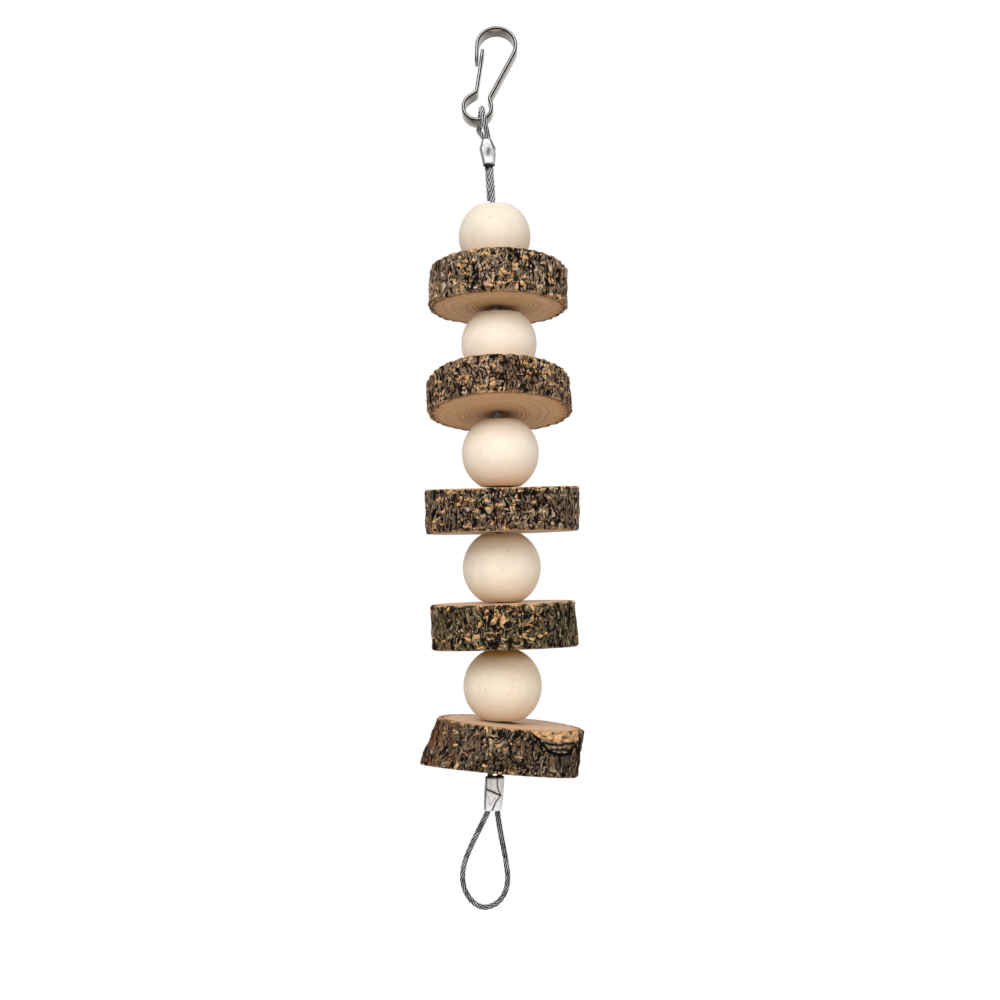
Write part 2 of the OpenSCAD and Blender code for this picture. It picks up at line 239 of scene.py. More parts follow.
def bark_look(name, grey, crest_highlight, moss, pale):
    """Bark on the side and sawn wood on the faces, steered by the values that the mesh carries"""
    m = Look(name)
    side, depth, fleck, tone, edge = (m.value(key) for key in ("side", "depth", "fleck", "tone", "edge"))
    fine = m.noise(2600, 4, 0.65)

    # Grey plates with painted highlights on their crests, mossy and rusty patches,
    # cracks darkened with painted shade, and flecks of fresh wood
    shadow, rust, crack_shade = rgb(24, 15, 9), rgb(138, 82, 44), rgb(7, 4, 2)
    lift = m.math("ADD", m.math("MULTIPLY", tone, 0.62), m.math("MULTIPLY", fine, 0.62))
    body = m.ramp(lift, (0.2, shadow), (0.42, rgb(*(0.76 * c for c in grey))), (0.64, rgb(*grey)),
                  (0.9, rgb(*crest_highlight)))
    body = m.mix(m.span(m.noise(160, 3), 0.52, 0.7, 0, 0.35), body, rgb(*moss))
    body = m.mix(m.value("rust"), body, rust)
    body = m.mix(m.span(depth, 0.1, 0.42), body, crack_shade)
    chip = m.ramp(m.noise(1500, 3), (0.3, rgb(168, 114, 66)), (0.55, rgb(216, 168, 114)),
                  (0.75, rgb(244, 214, 170)))
    body = m.mix(m.math("MULTIPLY", fleck, m.span(depth, 0.25, 0.6, 1, 0), clamp=True), body, chip)

    # Wavering rings, blotches and saw marks, and a band of bast and a brown line at the rim
    stain, saw_mark, paler_face = rgb(198, 150, 104), rgb(150, 105, 66), rgb(236, 216, 196)
    bast, rim_line = rgb(184, 120, 66), rgb(58, 32, 15)
    ring = m.math("ADD", m.value("ring"), m.math("MULTIPLY", m.noise(90, 4), 2.2))
    line = m.add("TexNoise", {"W": m.math("MULTIPLY", ring, 1.35), "Scale": 1.0, "Detail": 4.0,
                              "Roughness": 0.7}, noise_dimensions="1D").outputs[0]
    wood = m.ramp(line, (0.34, rgb(152, 108, 68)), (0.45, rgb(203, 163, 120)), (0.6, rgb(216, 180, 138)),
                  (0.78, rgb(226, 195, 156)))
    wood = m.mix(m.span(m.noise(70, 4), 0.35, 0.75, 0, 0.55), wood, stain)
    saw = m.noise(1.0, 3, 0.6, m.stretch((240, 3200, 300), (0, 0, 0.5)))
    wood = m.mix(m.span(saw, 0.35, 0.7, 0.16, 0), wood, saw_mark)
    # Paler sawn faces on the lower slices
    wood = m.mix(pale, wood, paler_face)
    wood = m.mix(m.span(edge, 0.9, 3.6, 0.65, 0), wood, bast)
    wood = m.mix(m.span(edge, 0.5, 1.2, 1, 0), wood, rim_line)

    height = m.math("MULTIPLY", m.math("ADD", fine, m.math("MULTIPLY", m.noise(900, 3), 1.4)), side)
    height = m.math("ADD", height, m.math("MULTIPLY", m.math("ADD", saw, line), m.span(side, 0, 1, 0.25, 0)))
    return m.finish({"Base Color": m.mix(side, wood, body), "Roughness": m.span(side, 0, 1, 0.62, 0.78),
                     "Normal": m.bump(height, 0.00022, 0.8), "Specular IOR Level": 0.35})


def bead_look(name, lean, hue):
    """Sanded pale wood whose grain runs through the bead, with pores and small dark dots"""
    m = Look(name)
    pore, dot, warm_shade, end_grain = rgb(196, 158, 116), rgb(150, 112, 74), rgb(184, 146, 84), rgb(190, 152, 106)
    long = m.noise(1.0, 4, 0.6, m.stretch((60, 420, 60), lean), distortion=0.4)
    pores = m.noise(1.0, 2, 0.5, m.stretch((500, 5200, 500), lean))
    broad = m.noise(55, 3)
    colour = m.ramp(long, (0.3, rgb(*(c * 0.965 for c in hue))), (0.5, rgb(*hue)),
                    (0.72, rgb(*(min(255, c * 1.02) for c in hue))))
    colour = m.mix(m.span(broad, 0.4, 0.72, 0, 0.4), colour, rgb(hue[0] * 0.97, hue[1] * 0.95, hue[2] * 0.91))
    colour = m.mix(m.span(pores, 0.66, 0.8, 0, 0.5), colour, pore)
    dots = m.add("TexVoronoi", {"Vector": m.place(), "Scale": 210.0, "Randomness": 1.0}).outputs["Distance"]
    colour = m.mix(m.span(dots, 0.05, 0.1, 0.28, 0), colour, dot)
    # Warm painted shade at the bead's top under the slice above and at its lower end
    colour = m.mix(m.value("painted_shade"), colour, warm_shade)
    colour = m.mix(m.math("MULTIPLY", m.value("cut"), 0.75), colour, end_grain)
    height = m.math("ADD", long, m.math("MULTIPLY", pores, 0.7))
    return m.finish({"Base Color": colour, "Roughness": m.span(broad, 0.3, 0.7, 0.42, 0.55),
                     "Normal": m.bump(height, 0.00008, 0.5), "Specular IOR Level": 0.4})


def metal_look(name, bright, dull, shade_and_reflection, roughness, metallic, wave, hollow_shade=False):
    """Metal with faint handling marks, and painted shade and dark reflections where the mesh carries them"""
    m = Look(name)
    colour = m.mix(m.span(m.noise(700, 3), 0.35, 0.7), rgb(*bright), rgb(*dull))
    # Painted shade in creases and painted dark reflections along edges
    colour = m.mix(m.value("shade_and_reflection"), colour, rgb(*shade_and_reflection))
    # Painted shade inside the mouths
    if hollow_shade:
        colour = m.mix(m.value("hollow_shade"), colour, rgb(9, 9, 9))
    scuff = m.noise(1.0, 3, 0.6, m.stretch((900, 900, 4200), (0.3, 0.2, 0)))
    rough = m.span(scuff, 0.3, 0.75, roughness * 0.7, roughness * 1.5)
    height = m.math("ADD", m.noise(360, 2), m.math("MULTIPLY", scuff, 0.06))
    return m.finish({"Base Color": colour, "Metallic": metallic, "Roughness": rough,
                     "Normal": m.bump(height, wave, 0.6)})


# Camera, at the photograph's place and angle

LENS = 56.555
SENSOR_W = 36
VIEW_FROM = Vector((-1.787, -506.5, -171)) * MM
VIEW_ROLL = -1.031
VIEW_SHIFT = 0.0615

camera = bpy.data.objects.new("camera", bpy.data.cameras.new("camera"))
camera.data.lens = LENS
camera.data.sensor_width = SENSOR_W
camera.data.shift_y = VIEW_SHIFT
camera.data.clip_start = 0.01
camera.data.clip_end = 20
camera.matrix_world = (Matrix.Translation(VIEW_FROM)
                       @ Matrix.Rotation(math.radians(90), 4, "X")
                       @ Matrix.Rotation(math.radians(VIEW_ROLL), 4, "Z"))
bpy.context.scene.collection.objects.link(camera)
bpy.context.scene.camera = camera
bpy.context.scene.view_settings.view_transform = "Standard"


# Stage, in metres: a pale floor below the hanging object, a white surround and soft light

FLOOR_Z = -0.8
FLOOR_REACH = 3.0
FLOOR_GLOW = 0.6
AMBIENT = 0.6
WHITE = (1, 1, 1, 1)
LAMP_TARGET = Vector((0, 0, -0.15))
LAMP_SIZE = 0.9
LAMPS = [("key", (-0.45, -1.35, 0.85), 18.8), ("back", (0.5, 1.3, 0.3), 4), ("fill", (1.0, -1.2, 0.1), 5)]


def make_floor():
    """A sheet of paper that glows a little to the camera alone"""
    square = ((-1, -1), (1, -1), (1, 1), (-1, 1))
    points = np.array([[x * FLOOR_REACH, y * FLOOR_REACH, FLOOR_Z] for x, y in square])
    floor = make_mesh("floor", points / MM, [np.array([[0, 1, 2, 3]])])
    m = Look("floor_paper")
    shade = m.mix(m.noise(9, 2), rgb(228, 228, 227), rgb(234, 234, 233))
    paper = m.add("BsdfDiffuse", {"Color": shade})
    glow = m.add("Emission", {"Color": WHITE, "Strength": FLOOR_GLOW})
    both = m.add("AddShader", {0: paper.outputs[0], 1: glow.outputs[0]})
    seen = m.add("LightPath").outputs["Is Camera Ray"]
    floor.data.materials.append(
        m.surface(m.add("MixShader", {0: seen, 1: paper.outputs[0], 2: both.outputs[0]})))
    floor.visible_glossy = False


def make_world():
    """White to the camera, plain soft light on the object, and a room of its own for what metal mirrors"""
    world = bpy.data.worlds.new("surround")
    bpy.context.scene.world = world
    world.use_nodes = True
    m = Nodes(world.node_tree)

    def greys(axis, *stops):
        """A ramp along an axis of the view, of places from 0 to 1 with a grey and its warmth"""
        x = m.math("MULTIPLY", m.math("ADD", axis, 1), 0.5)
        return m.ramp(x, *((place, (grey, grey * (1 - 0.6 * warmth), grey * (1 - warmth), 1))
                           for place, grey, warmth in stops))

    # The room that metal mirrors: a white wall behind the object, dark wings at its sides, grey behind the
    # viewer, white above, and warm wood below
    way = m.add("SeparateXYZ", {0: m.add("TexCoord").outputs["Generated"]}).outputs
    across = greys(way["Y"], (0.0, 0.5, 0), (0.05, 0.6, 0), (0.12, 0.015, 0), (0.84, 0.02, 0),
                   (0.91, 0.4, 0.1), (1.0, 0.78, 0.05))
    upward = greys(way["Z"], (0.06, 0.5, 0.35), (0.2, 0.0, 0), (0.74, 0.0, 0), (0.84, 1.1, 0))
    room = m.add("Background", {"Color": m.mix(1, across, upward, "LIGHTEN"), "Strength": 1.0})
    soft = m.add("Background", {"Color": WHITE, "Strength": AMBIENT})
    white = m.add("Background", {"Color": WHITE, "Strength": 1.0})

    ray = m.add("LightPath").outputs
    mirrored = m.math("MAXIMUM", ray["Is Glossy Ray"], ray["Is Transmission Ray"])
    unseen = m.add("MixShader", {0: mirrored, 1: soft.outputs[0], 2: room.outputs[0]})
    whole = m.add("MixShader", {0: ray["Is Camera Ray"], 1: unseen.outputs[0], 2: white.outputs[0]})
    m.add("OutputWorld", {0: whole.outputs[0]})


def make_lamp(name, place, power):
    """A square lamp aimed at the object, which metal doesn't mirror"""
    lamp = bpy.data.objects.new(name, bpy.data.lights.new(name, "AREA"))
    lamp.data.shape = "SQUARE"
    lamp.data.size = LAMP_SIZE
    lamp.data.energy = power
    lamp.visible_glossy = False
    lamp.location = place
    lamp.rotation_mode = "QUATERNION"
    lamp.rotation_quaternion = (LAMP_TARGET - Vector(place)).to_track_quat("-Z", "Y")
    bpy.context.scene.collection.objects.link(lamp)


make_floor()
make_world()
for lamp_name, lamp_place, lamp_power in LAMPS:
    make_lamp(lamp_name, lamp_place, lamp_power)


# Wire rope

# Six strands laid round the middle line; LAY and WIRE_LAY are the lengths of one turn
ROPE_R = 0.9
STRANDS = 6
STRAND_R = 0.285
STRAND_SIDES = 10
STRAND_WIRES = 6
LAY = 11.0
WIRE_LAY = 4.5
ROPE_STEP = 0.6
# Up in the plane of the tipped hook, and away from the viewer across the width of its strip
HOOK_PITCH = math.radians(13)
HOOK_UP = np.array([0, math.sin(HOOK_PITCH), math.cos(HOOK_PITCH)])
HOOK_BACK = np.array([0, math.cos(HOOK_PITCH), -math.sin(HOOK_PITCH)])
# Where the rope's eye sits on the hook's lower bow, and the radius of its turn over it
EYE_SEAT = np.array([-5.168, -5.701, -30.369])
EYE_R = 3.7
# From the middle of a sleeve to each of the rope's two runs in it
RUN_TURN = math.radians(30)
RUN = 0.95 * np.array([math.sin(RUN_TURN), -math.cos(RUN_TURN), 0])
LOWER_RUN = np.array([1.5, 0, 0])
# The ends of both sleeves, and the stack's axis and top
UPPER_TOP = np.array([-3.568, -5.701, -36.764])
UPPER_BOTTOM = np.array([-3.018, -5.701, -44.964])
STACK_X, STACK_Y, STACK_TOP = -2.043, -6.524, -57.764
LOWER_TOP = np.array([-4.643, -6.524, -239.333])
LOWER_BOTTOM = np.array([-5.543, -6.524, -250.133])
# Top and middle of the lowest slice, where the rope bends away to the lower sleeve
FOOT_TOP, FOOT_MIDDLE = -222.139, -229.839
# How far the rope's two ends reach out of their sleeves
TAIL_L = 10.8
DEAD_END_L = 1.8
# The loop's points to the right of and above the lower sleeve's bottom
LOOP = [(1.7, -2.4), (2.1, -5.3), (2.6, -8.5), (3.2, -11.8), (3.8, -15.2), (4.2, -18.5),
        (4.4, -20.8), (4.3, -22.9), (3.8, -25.2), (2.8, -27.3), (1.2, -29.2), (-1, -30.4),
        (-3.2, -30.8), (-5.2, -30.2), (-7, -28.8), (-8.5, -26.8), (-9.5, -24.5), (-9.9, -22.2),
        (-9.9, -19.9), (-9.5, -17.6), (-8.8, -15.2), (-7.7, -12.6), (-6.5, -10.1), (-5.2, -7.5),
        (-3.9, -5), (-2.6, -2.5)]


def rope_route():
    """The rope's middle line, from the end of its tail to its dead end in the lower sleeve"""
    tail = UPPER_BOTTOM - RUN
    route = [tail + [0.5, 0, -TAIL_L], tail + [0.25, 0, -TAIL_L / 2], tail, UPPER_TOP - RUN,
             EYE_SEAT + [-0.9, 0, 0] + EYE_R * HOOK_BACK - 1.3 * HOOK_UP]
    for turn in np.radians(np.arange(0, 181, 22.5)):
        over = math.cos(turn) * HOOK_BACK + math.sin(turn) * HOOK_UP
        route.append(EYE_SEAT + [-0.45 * math.cos(turn), 0, 0] + EYE_R * over)
    route += [EYE_SEAT + [0.7, 0, 0] - EYE_R * HOOK_BACK - 1.3 * HOOK_UP, UPPER_TOP + RUN, UPPER_BOTTOM + RUN,
              np.array([STACK_X - 0.15, STACK_Y, STACK_TOP + 6.4])]
    route += [np.array([STACK_X, STACK_Y, z]) for z in np.linspace(STACK_TOP, FOOT_TOP, 22)]
    route += [np.array([STACK_X - 0.5, STACK_Y, FOOT_MIDDLE])]
    route += [LOWER_TOP + LOWER_RUN, LOWER_BOTTOM + LOWER_RUN]
    route += [LOWER_BOTTOM + [x, 0, z] for x, z in LOOP]
    dead_end = LOWER_TOP - LOWER_RUN
    route += [LOWER_BOTTOM - LOWER_RUN, dead_end, dead_end + [0, 0, DEAD_END_L]]
    return np.array(route)


def even_path(route, step):
    """A smooth curve through the points of a route, resampled at even steps"""
    ends = np.concatenate([[2 * route[0] - route[1]], route, [2 * route[-1] - route[-2]]])
    out = []
    for a, b, c, d in zip(ends, ends[1:], ends[2:], ends[3:]):
        knots = [0.0]
        for p, q in ((a, b), (b, c), (c, d)):
            knots.append(knots[-1] + max(np.linalg.norm(q - p), 1e-6) ** 0.5)
        t0, t1, t2, t3 = knots
        t = np.linspace(t1, t2, 24, endpoint=False)[:, None]
        ab = (t1 - t) / (t1 - t0) * a + (t - t0) / (t1 - t0) * b
        bc = (t2 - t) / (t2 - t1) * b + (t - t1) / (t2 - t1) * c
        cd = (t3 - t) / (t3 - t2) * c + (t - t2) / (t3 - t2) * d
        abc = (t2 - t) / (t2 - t0) * ab + (t - t0) / (t2 - t0) * bc
        bcd = (t3 - t) / (t3 - t1) * bc + (t - t1) / (t3 - t1) * cd
        out.append((t2 - t) / (t2 - t1) * abc + (t - t1) / (t2 - t1) * bcd)
    dense = np.concatenate(out + [route[-1:]])
    run = np.concatenate([[0], np.cumsum(np.linalg.norm(np.diff(dense, axis=0), axis=1))])
    at = np.linspace(0, run[-1], int(run[-1] / step) + 1)
    return np.stack([np.interp(at, run, dense[:, k]) for k in range(3)], axis=1), at


def carried_sides(path, side):
    """Side vectors carried along a path without twist, and the third direction"""
    ahead = np.gradient(path, axis=0)
    ahead /= np.linalg.norm(ahead, axis=1)[:, None]
    sides = np.empty_like(path)
    for k, t in enumerate(ahead):
        side = side - side.dot(t) * t
        side = side / np.linalg.norm(side)
        sides[k] = side
    return sides, np.cross(ahead, sides)


def make_rope():
    """Six strands, with their wires as colour and bump, and painted shade low down, between the wires, in the
    grooves and at the sleeves' mouths
    """
    path, at = even_path(rope_route(), ROPE_STEP)
    side, up = carried_sides(path, np.array([0.0, 1, 0]))
    round_it = 2 * math.pi * np.arange(STRAND_SIDES) / STRAND_SIDES
    points, faces = [], []
    for strand in range(STRANDS):
        turn = 2 * math.pi * (at / LAY + strand / STRANDS)
        out = np.cos(turn)[:, None] * side + np.sin(turn)[:, None] * up
        middle_line = path + (ROPE_R - STRAND_R) * out
        angle = (turn[:, None] + round_it[None, :])[..., None]
        away = np.cos(angle) * side[:, None, :] + np.sin(angle) * up[:, None, :]
        ring = middle_line[:, None, :] + STRAND_R * away
        faces += tube_faces(len(path), STRAND_SIDES, len(points) * len(path) * STRAND_SIDES)
        points.append(ring.reshape(-1, 3))
    # Painted shade at the sleeves' open mouths: height of the middle and half length
    mouths = [(UPPER_BOTTOM[2] - 0.4, 0.75), (LOWER_TOP[2] + 0.1, 0.7)]
    shade = sum(np.exp(-((path[:, 2] - z) / reach) ** 4) for z, reach in mouths)
    wire = np.tile(round_it, (len(path), 1)) - 2 * math.pi * at[:, None] / WIRE_LAY
    values = {"deep": np.tile(0.5 - 0.5 * np.cos(round_it), len(path)), "wire": wire.ravel(),
              "low": np.repeat(smooth(-path[:, 2], 120, 220), STRAND_SIDES),
              "shade": np.repeat(shade, STRAND_SIDES)}
    rope = make_mesh("wire_rope_strands", np.concatenate(points), faces,
                     {key: np.tile(row, STRANDS) for key, row in values.items()})

    m = Look("stranded_steel")
    painted_groove_shade, mouth_shade = rgb(4, 4, 5), rgb(12, 12, 13)
    wires = m.math("SINE", m.math("MULTIPLY", m.value("wire"), STRAND_WIRES))
    patch = m.noise(500, 3)
    # The rope is painted darker low down, as painted shade under the stack; the patches are its own tone
    above = m.mix(m.span(patch, 0.4, 0.62), rgb(248, 249, 252), rgb(196, 198, 203))
    below = m.mix(m.span(patch, 0.4, 0.62), rgb(214, 215, 217), rgb(120, 121, 124))
    colour = m.mix(m.value("low"), above, below)
    # Painted shade between the wires, and darker painted shade in the grooves between the strands
    colour = m.mix(m.span(wires, -1, -0.3, 0.4, 0), colour, rgb(40, 40, 42))
    colour = m.mix(m.span(m.value("deep"), 0.12, 0.3), colour, painted_groove_shade)
    # Painted shade where the rope goes into the sleeves' mouths
    colour = m.mix(m.value("shade"), colour, mouth_shade)
    look = m.finish({"Base Color": colour, "Metallic": 0.25, "Roughness": m.span(patch, 0.3, 0.7, 0.2, 0.35),
                     "Normal": m.bump(wires, 0.00004, 0.7)})
    dress(rope, "sling", "rope_steel", look, "wire_rope")


make_rope()


# Snap hook: one strip, bent in its own plane, leaned to the right and tipped away from the viewer

STRIP_W, STRIP_T = 5.2, 1.05
STRIP_STEP = 0.4
# Radius of the strip's long edges, and the painted dark reflection on each of them on the way round the
# strip's section
EDGE_R = 0.41
EDGE_REFLECTION_DARK = (0, 1, 1, 1, 1, 0.9, 0.5)
HOOK_LEAN = math.radians(16.7)
BOW_R = 6.2
# How far the upper bow's middle lies below the part's origin, inside the bow's top
BOW_DROP = BOW_R - STRIP_T / 2
NOSE_HEADING = 104
# Straight length, turn to the left in degrees and radius of each bend, from the nose to the gate
BENDS = [(5.7, -204.4, BOW_R), (17.1, 44.5, 1.6), (1, -252, 4.5), (2.4, 46, 1)]
GATE_L, GATE_HEAD_L, GATE_TAPER_L = 15, 4, 2.5
GATE_ARM_W = 0.72 * STRIP_W
STRIP_CORNER = 1


def strip_path(step):
    """Points and headings along the middle of the strip, and where the gate's points start and lie"""
    def ahead(h):
        return np.array([math.cos(h), math.sin(h)])

    def outward(h):
        return np.array([math.sin(h), -math.cos(h)])

    place, heading = np.zeros(2), math.radians(NOSE_HEADING)
    points, headings, centres = [], [], []
    for length, turn, radius in BENDS:
        count = max(2, int(length / step))
        for k in range(count):
            points.append(place + length * k / count * ahead(heading))
            headings.append(heading)
        arm = math.copysign(radius, turn)
        centre = place + length * ahead(heading) - arm * outward(heading)
        centres.append(centre)
        count = max(6, int(abs(math.radians(turn)) * radius / step))
        for k in range(count):
            h = heading + math.radians(turn) * k / count
            points.append(centre + arm * outward(h))
            headings.append(h)
        heading += math.radians(turn)
        place = centre + arm * outward(heading)
    neck = GATE_L - GATE_HEAD_L
    marks = [0, 0.3, 1, 1.6, GATE_TAPER_L, 4.5, 6.5, 8, 9.5, neck - 0.12, neck + 0.12, 12, 13,
             GATE_L - STRIP_CORNER, GATE_L - 0.6, GATE_L - 0.25, GATE_L - 0.08, GATE_L]
    gate_start = len(points)
    for along in marks:
        points.append(place + along * ahead(heading))
        headings.append(heading)
    return np.array(points) - centres[0], np.array(headings), gate_start, marks


def make_hook():
    """The bent strip with rounded edges, cut corners at both ends and a narrower arm on its gate"""
    path, headings, gate_start, marks = strip_path(STRIP_STEP)
    far = np.concatenate([[0], np.cumsum(np.linalg.norm(np.diff(path, axis=0), axis=1))])
    half_w = STRIP_W / 2 - np.clip(STRIP_CORNER - far, 0, None)
    for k, along in enumerate(marks):
        width = STRIP_W / 2
        if along < GATE_L - GATE_HEAD_L:
            width = np.interp(along, [0, 0.3, GATE_TAPER_L], [STRIP_W / 2, STRIP_W / 2, GATE_ARM_W / 2])
        half_w[gate_start + k] = min(width, STRIP_W / 2 - max(0, along - (GATE_L - STRIP_CORNER)))
    # Both tips are rounded over their last quarter of a millimetre
    tip = np.minimum(far, far[-1] - far)
    shrink = np.sqrt(np.clip(1 - (1 - np.clip(tip / 0.25, 0, 1)) ** 2, 0.02, 1))
    half_t = STRIP_T / 2 * (0.4 + 0.6 * shrink)

    outline = []
    for start, across, over in ((0, 1, 1), (90, -1, 1), (180, -1, -1), (270, 1, -1)):
        for a in np.radians(start + np.linspace(0, 90, len(EDGE_REFLECTION_DARK))):
            outline.append((across, over, math.cos(a), math.sin(a)))
    rings = []
    for p, h, w, t in zip(path, headings, half_w, half_t):
        normal = np.array([-math.sin(h), math.cos(h)])
        edge = min(EDGE_R, t * 0.9)
        for across, over, ca, sa in outline:
            x, z = p + (over * (t - edge) + edge * sa) * normal
            rings.append((x, -across * (w - edge) - edge * ca, z))
    flat_x, y, flat_z = np.array(rings).T
    x = flat_x * math.cos(HOOK_LEAN) + flat_z * math.sin(HOOK_LEAN)
    z = flat_z * math.cos(HOOK_LEAN) - flat_x * math.sin(HOOK_LEAN)
    placed = np.stack([x, z * math.sin(HOOK_PITCH) + y * math.cos(HOOK_PITCH),
                       z * math.cos(HOOK_PITCH) - y * math.sin(HOOK_PITCH) - BOW_DROP], axis=1)
    # The rounded edges carry painted dark reflections
    hook = make_mesh("snap_hook_strip", placed, tube_faces(len(path), len(outline)),
                     {"shade_and_reflection": np.tile(EDGE_REFLECTION_DARK, 4 * len(path))})
    look = metal_look("nickel_plate", (246, 244, 241), (226, 222, 216), (14, 13, 12), 0.07, 0.78, 0.00002)
    dress(hook, "hook", "hook_steel", look, "snap_hook")


make_hook()


# Crimped sleeves: an oval tube pressed flat by planes and closed on the rope

SLEEVE_ROWS, SLEEVE_SIDES = 100, 128
# A sleeve's section is an ellipse of this power, nearer to a rectangle than a plain one of power 2
SECTION_POWER = 3.0
# Creases and the painted lines of dark reflection and shade lie where the sine of the angle is below this, on
# the viewer's side
FRONT_SINE = 0.2
# Creases this deep in mm get the full painted shade
DARK_CREASE = 0.28
SLEEVE_LOOK = metal_look("crimped_aluminium", (254, 254, 255), (243, 244, 246), (34, 34, 36), 0.14, 0.08,
                         0.00003, hollow_shade=True)


def crease_depth(u, v, creases):
    """How much crease lines cut into a sleeve's front at places u across and v along it, all in mm"""
    cut = np.zeros(np.broadcast(u, v).shape)
    for depth, width, *corners in creases:
        for (ax, ay), (bx, by) in zip(corners, corners[1:]):
            span = (bx - ax) ** 2 + (by - ay) ** 2
            t = np.clip(((u - ax) * (bx - ax) + (v - ay) * (by - ay)) / span, 0, 1)
            off = np.hypot(u - ax - t * (bx - ax), v - ay - t * (by - ay))
            cut = np.maximum(cut, depth * np.clip(1 - off / width, 0, 1))
    return cut


def pressed_sleeve(name, node, low, high, half_wide, half_deep, planes, creases, shade_and_reflection_lines,
                   mouth_low, mouth_high):
    """An oval sleeve from low to high, with half widths and depths at each share of its length

    Planes are given as direction in degrees from the viewer's side, distance, lean and the share where they
    lean from. Creases have a depth, a width and corners, painted lines of dark reflection and shade a
    darkness, a width and corners, and mouths a depth and a wall.
    """
    run = high - low
    length = np.linalg.norm(run)
    angle = 2 * math.pi * np.arange(SLEEVE_SIDES) / SLEEVE_SIDES
    ca, sa = np.cos(angle), np.sin(angle)

    def ring(s, inset):
        """The points and darkness of a section at a share of the length, set in from the surface"""
        r = (np.abs(ca / half_wide(s)) ** SECTION_POWER
             + np.abs(sa / half_deep(s)) ** SECTION_POWER) ** (-1 / SECTION_POWER)
        for way, distance, lean, centre in planes:
            tilt = math.radians(way)
            reach = ca * math.sin(tilt) - sa * math.cos(tilt)
            limit = distance + lean * abs(s - centre) * length
            r = np.where(reach > 0.05, np.minimum(r, limit / np.maximum(reach, 0.05)), r)
        front = sa < FRONT_SINE
        cut = np.where(front, crease_depth(r * ca, s * length, creases), 0)
        stain = np.where(front, crease_depth(r * ca, s * length, shade_and_reflection_lines), 0)
        # Painted shade in the creases, and the painted lines of dark reflection and shade
        dark = np.maximum(np.clip(cut / DARK_CREASE, 0, 1) ** 1.5, stain)
        r = r - cut - inset
        return low + run * s + np.stack([r * ca, r * sa, np.zeros(SLEEVE_SIDES)], axis=1), dark

    def end_rings(s, mouth, inward):
        """Rings round the lip of an end and into its mouth, each with how much painted shade it gets"""
        depth, wall = mouth
        return [(*ring(s, 0.08), 0), (*ring(s, wall * 0.6), 0), (*ring(s, wall), 0.6),
                (*ring(s + inward * 0.15 / length, wall + 0.05), 1),
                (*ring(s + inward * depth / length, wall + 0.1), 1)]

    rings = end_rings(0, mouth_low, 1)[::-1]
    rings += [(*ring(s, 0), 0) for s in np.linspace(0, 1, SLEEVE_ROWS)[1:-1]]
    rings += end_rings(1, mouth_high, -1)
    points, dark, hollow_shade = zip(*rings)
    sleeve = make_mesh(name, np.concatenate(points), tube_faces(len(rings), SLEEVE_SIDES),
                       {"hollow_shade": np.repeat(hollow_shade, SLEEVE_SIDES), "shade_and_reflection": np.concatenate(dark)})
    dress(sleeve, "sling", "sleeve_metal", SLEEVE_LOOK, node)


